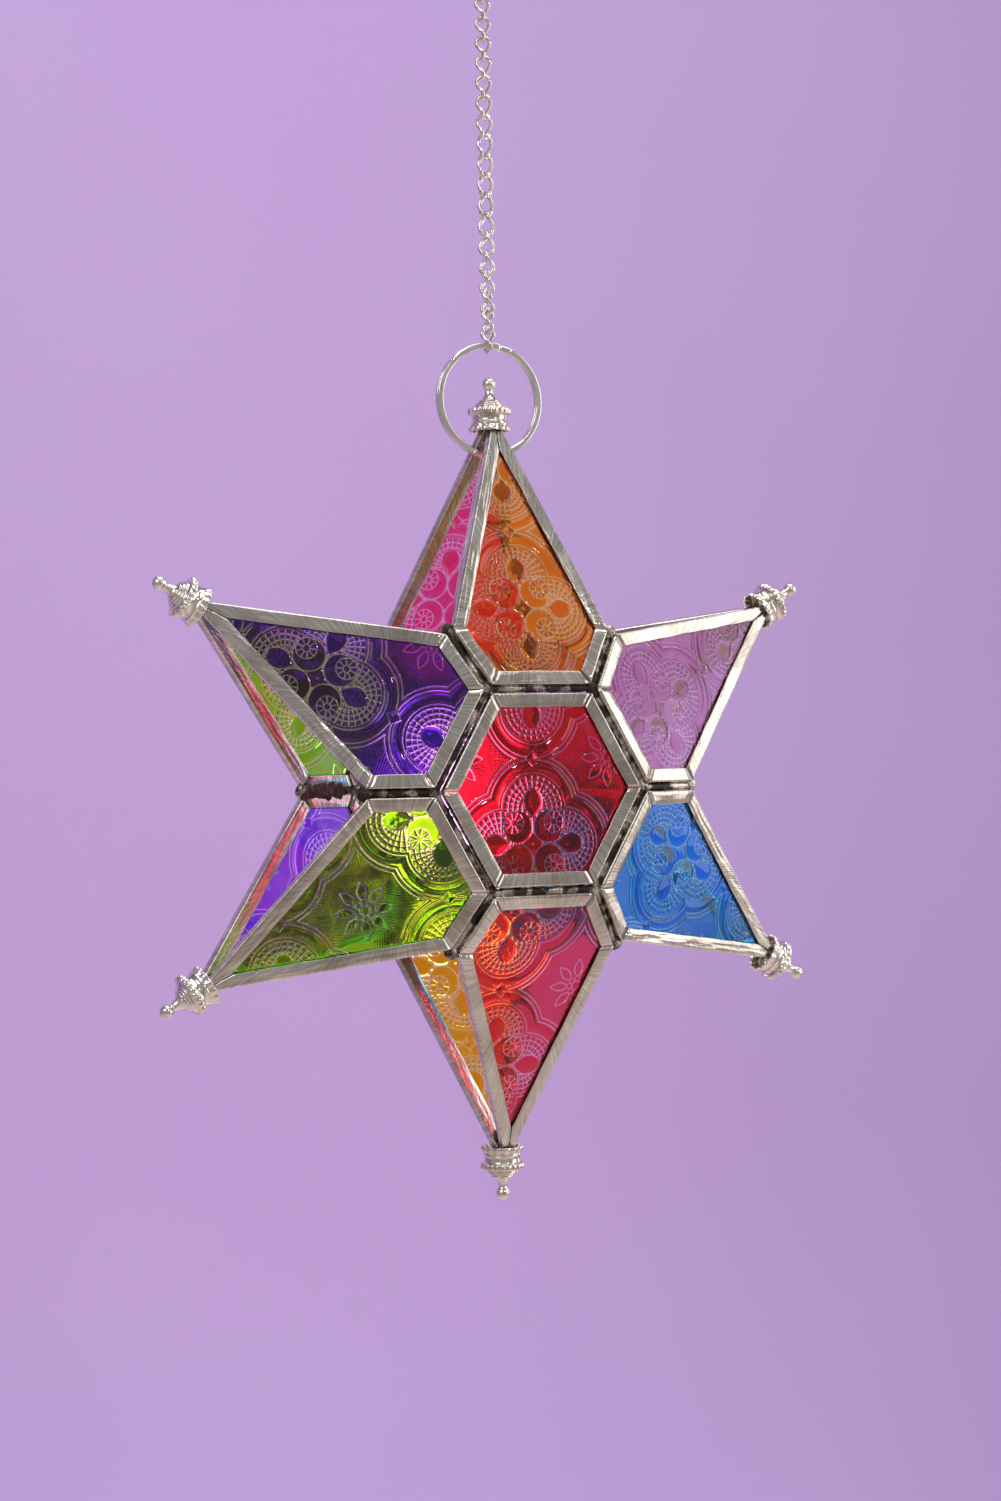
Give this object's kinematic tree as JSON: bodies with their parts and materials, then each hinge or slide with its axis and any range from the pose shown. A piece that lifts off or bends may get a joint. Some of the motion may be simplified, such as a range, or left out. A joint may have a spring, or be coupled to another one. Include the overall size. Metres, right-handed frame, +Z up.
{
  "type": "hanging star lantern",
  "caption": "Hanging star lantern: two shells of framed coloured pressed glass joined at capped points, on a split ring, curb chain and hook.",
  "frame": {"origin": "where the hook's upper loop bears on what holds the lantern up", "axes": "+Z up along the chain, -Y out of the front shell, +X to the right seen from the front"},
  "size_m": [0.217, 0.0676, 0.3986],
  "materials": {
    "frame_metal": "tinned sheet, bright, fine cross ribs",
    "solder": "lumpy bright solder, dulled by flux",
    "finial_metal": "nickel plated, bright",
    "ring_metal": "nickel plated spring steel",
    "chain_metal": "nickel plated, bright",
    "hook_metal": "nickel plated, bright",
    "tray_metal": "tinned sheet, dulled by heat",
    "glass_amber": "pressed pattern, glossy",
    "glass_crimson": "pressed pattern, glossy",
    "glass_green": "pressed pattern, glossy",
    "glass_indigo": "pressed pattern, glossy",
    "glass_magenta": "pressed pattern, glossy",
    "glass_mauve": "pressed pattern, glossy",
    "glass_orange": "pressed pattern, glossy",
    "glass_red_pink": "pressed pattern, glossy",
    "glass_sky_blue": "pressed pattern, glossy",
    "glass_teal": "pressed pattern, glossy",
    "glass_violet_blue": "pressed pattern, glossy"
  },
  "bodies": {
    "hook": {"hook": "hook_metal"},
    "chain_1": {"chain_1": "chain_metal"},
    "chain_2": {"chain_2": "chain_metal"},
    "chain_3": {"chain_3": "chain_metal"},
    "chain_4": {"chain_4": "chain_metal"},
    "chain_5": {"chain_5": "chain_metal"},
    "ring": {"split_ring": "ring_metal"},
    "lantern": {"front_hexagon_frame": "frame_metal", "front_hexagon_glass": "glass_crimson", "front_top_frame": "frame_metal", "front_top_glass": "glass_orange", "front_upper_right_frame": "frame_metal", "front_upper_right_glass": "glass_mauve", "front_lower_right_frame": "frame_metal", "front_lower_right_glass": "glass_sky_blue", "front_bottom_frame": "frame_metal", "front_bottom_glass": "glass_red_pink", "front_lower_left_frame": "frame_metal", "front_lower_left_glass": "glass_green", "front_upper_left_frame": "frame_metal", "front_upper_left_glass": "glass_indigo", "rear_hexagon_frame": "frame_metal", "rear_hexagon_glass": "glass_mauve", "rear_top_frame": "frame_metal", "rear_top_glass": "glass_magenta", "rear_upper_right_frame": "frame_metal", "rear_upper_right_glass": "glass_mauve", "rear_lower_right_frame": "frame_metal", "rear_lower_right_glass": "glass_teal", "rear_bottom_frame": "frame_metal", "rear_bottom_glass": "glass_amber", "rear_lower_left_frame": "frame_metal", "rear_lower_left_glass": "glass_violet_blue", "rear_upper_left_frame": "frame_metal", "rear_upper_left_glass": "glass_green", "front_solder": "solder", "rear_solder": "solder", "point_solder": "solder", "finial_top": "finial_metal", "finial_upper_right": "finial_metal", "finial_lower_right": "finial_metal", "finial_bottom": "finial_metal", "finial_lower_left": "finial_metal", "finial_upper_left": "finial_metal", "brace_left": "frame_metal", "brace_right": "frame_metal", "candle_tray": "tray_metal", "candle_cup": "tray_metal"}
  },
  "joints": [
    {"name": "hook_to_chain", "type": "hinge", "parent": "hook", "child": "chain_1", "pos_m": [0, 0, -0.0214], "axis": [0.2183, 0.9759, 0], "range_deg": [-40, 40]},
    {"name": "chain_1_to_chain_2", "type": "hinge", "parent": "chain_1", "child": "chain_2", "pos_m": [0, 0, -0.04337], "axis": [0.9188, -0.3947, 0], "range_deg": [-30, 30]},
    {"name": "chain_2_to_chain_3", "type": "hinge", "parent": "chain_2", "child": "chain_3", "pos_m": [0, 0, -0.06817], "axis": [0.6406, 0.7678, 0], "range_deg": [-30, 30]},
    {"name": "chain_3_to_chain_4", "type": "hinge", "parent": "chain_3", "child": "chain_4", "pos_m": [0, 0, -0.09058], "axis": [0.1064, -0.9943, 0], "range_deg": [-30, 30]},
    {"name": "chain_4_to_chain_5", "type": "hinge", "parent": "chain_4", "child": "chain_5", "pos_m": [0, 0, -0.11538], "axis": [0.8646, -0.5024, 0], "range_deg": [-30, 30]},
    {"name": "chain_to_ring", "type": "hinge", "parent": "chain_5", "child": "ring", "pos_m": [0, 0, -0.13698], "axis": [1, 0, 0], "range_deg": [-35, 35]},
    {"name": "ring_to_lantern", "type": "hinge", "parent": "ring", "child": "lantern", "pos_m": [0, 0, -0.17017], "axis": [1, 0, 0], "range_deg": [-45, 45]}
  ]
}
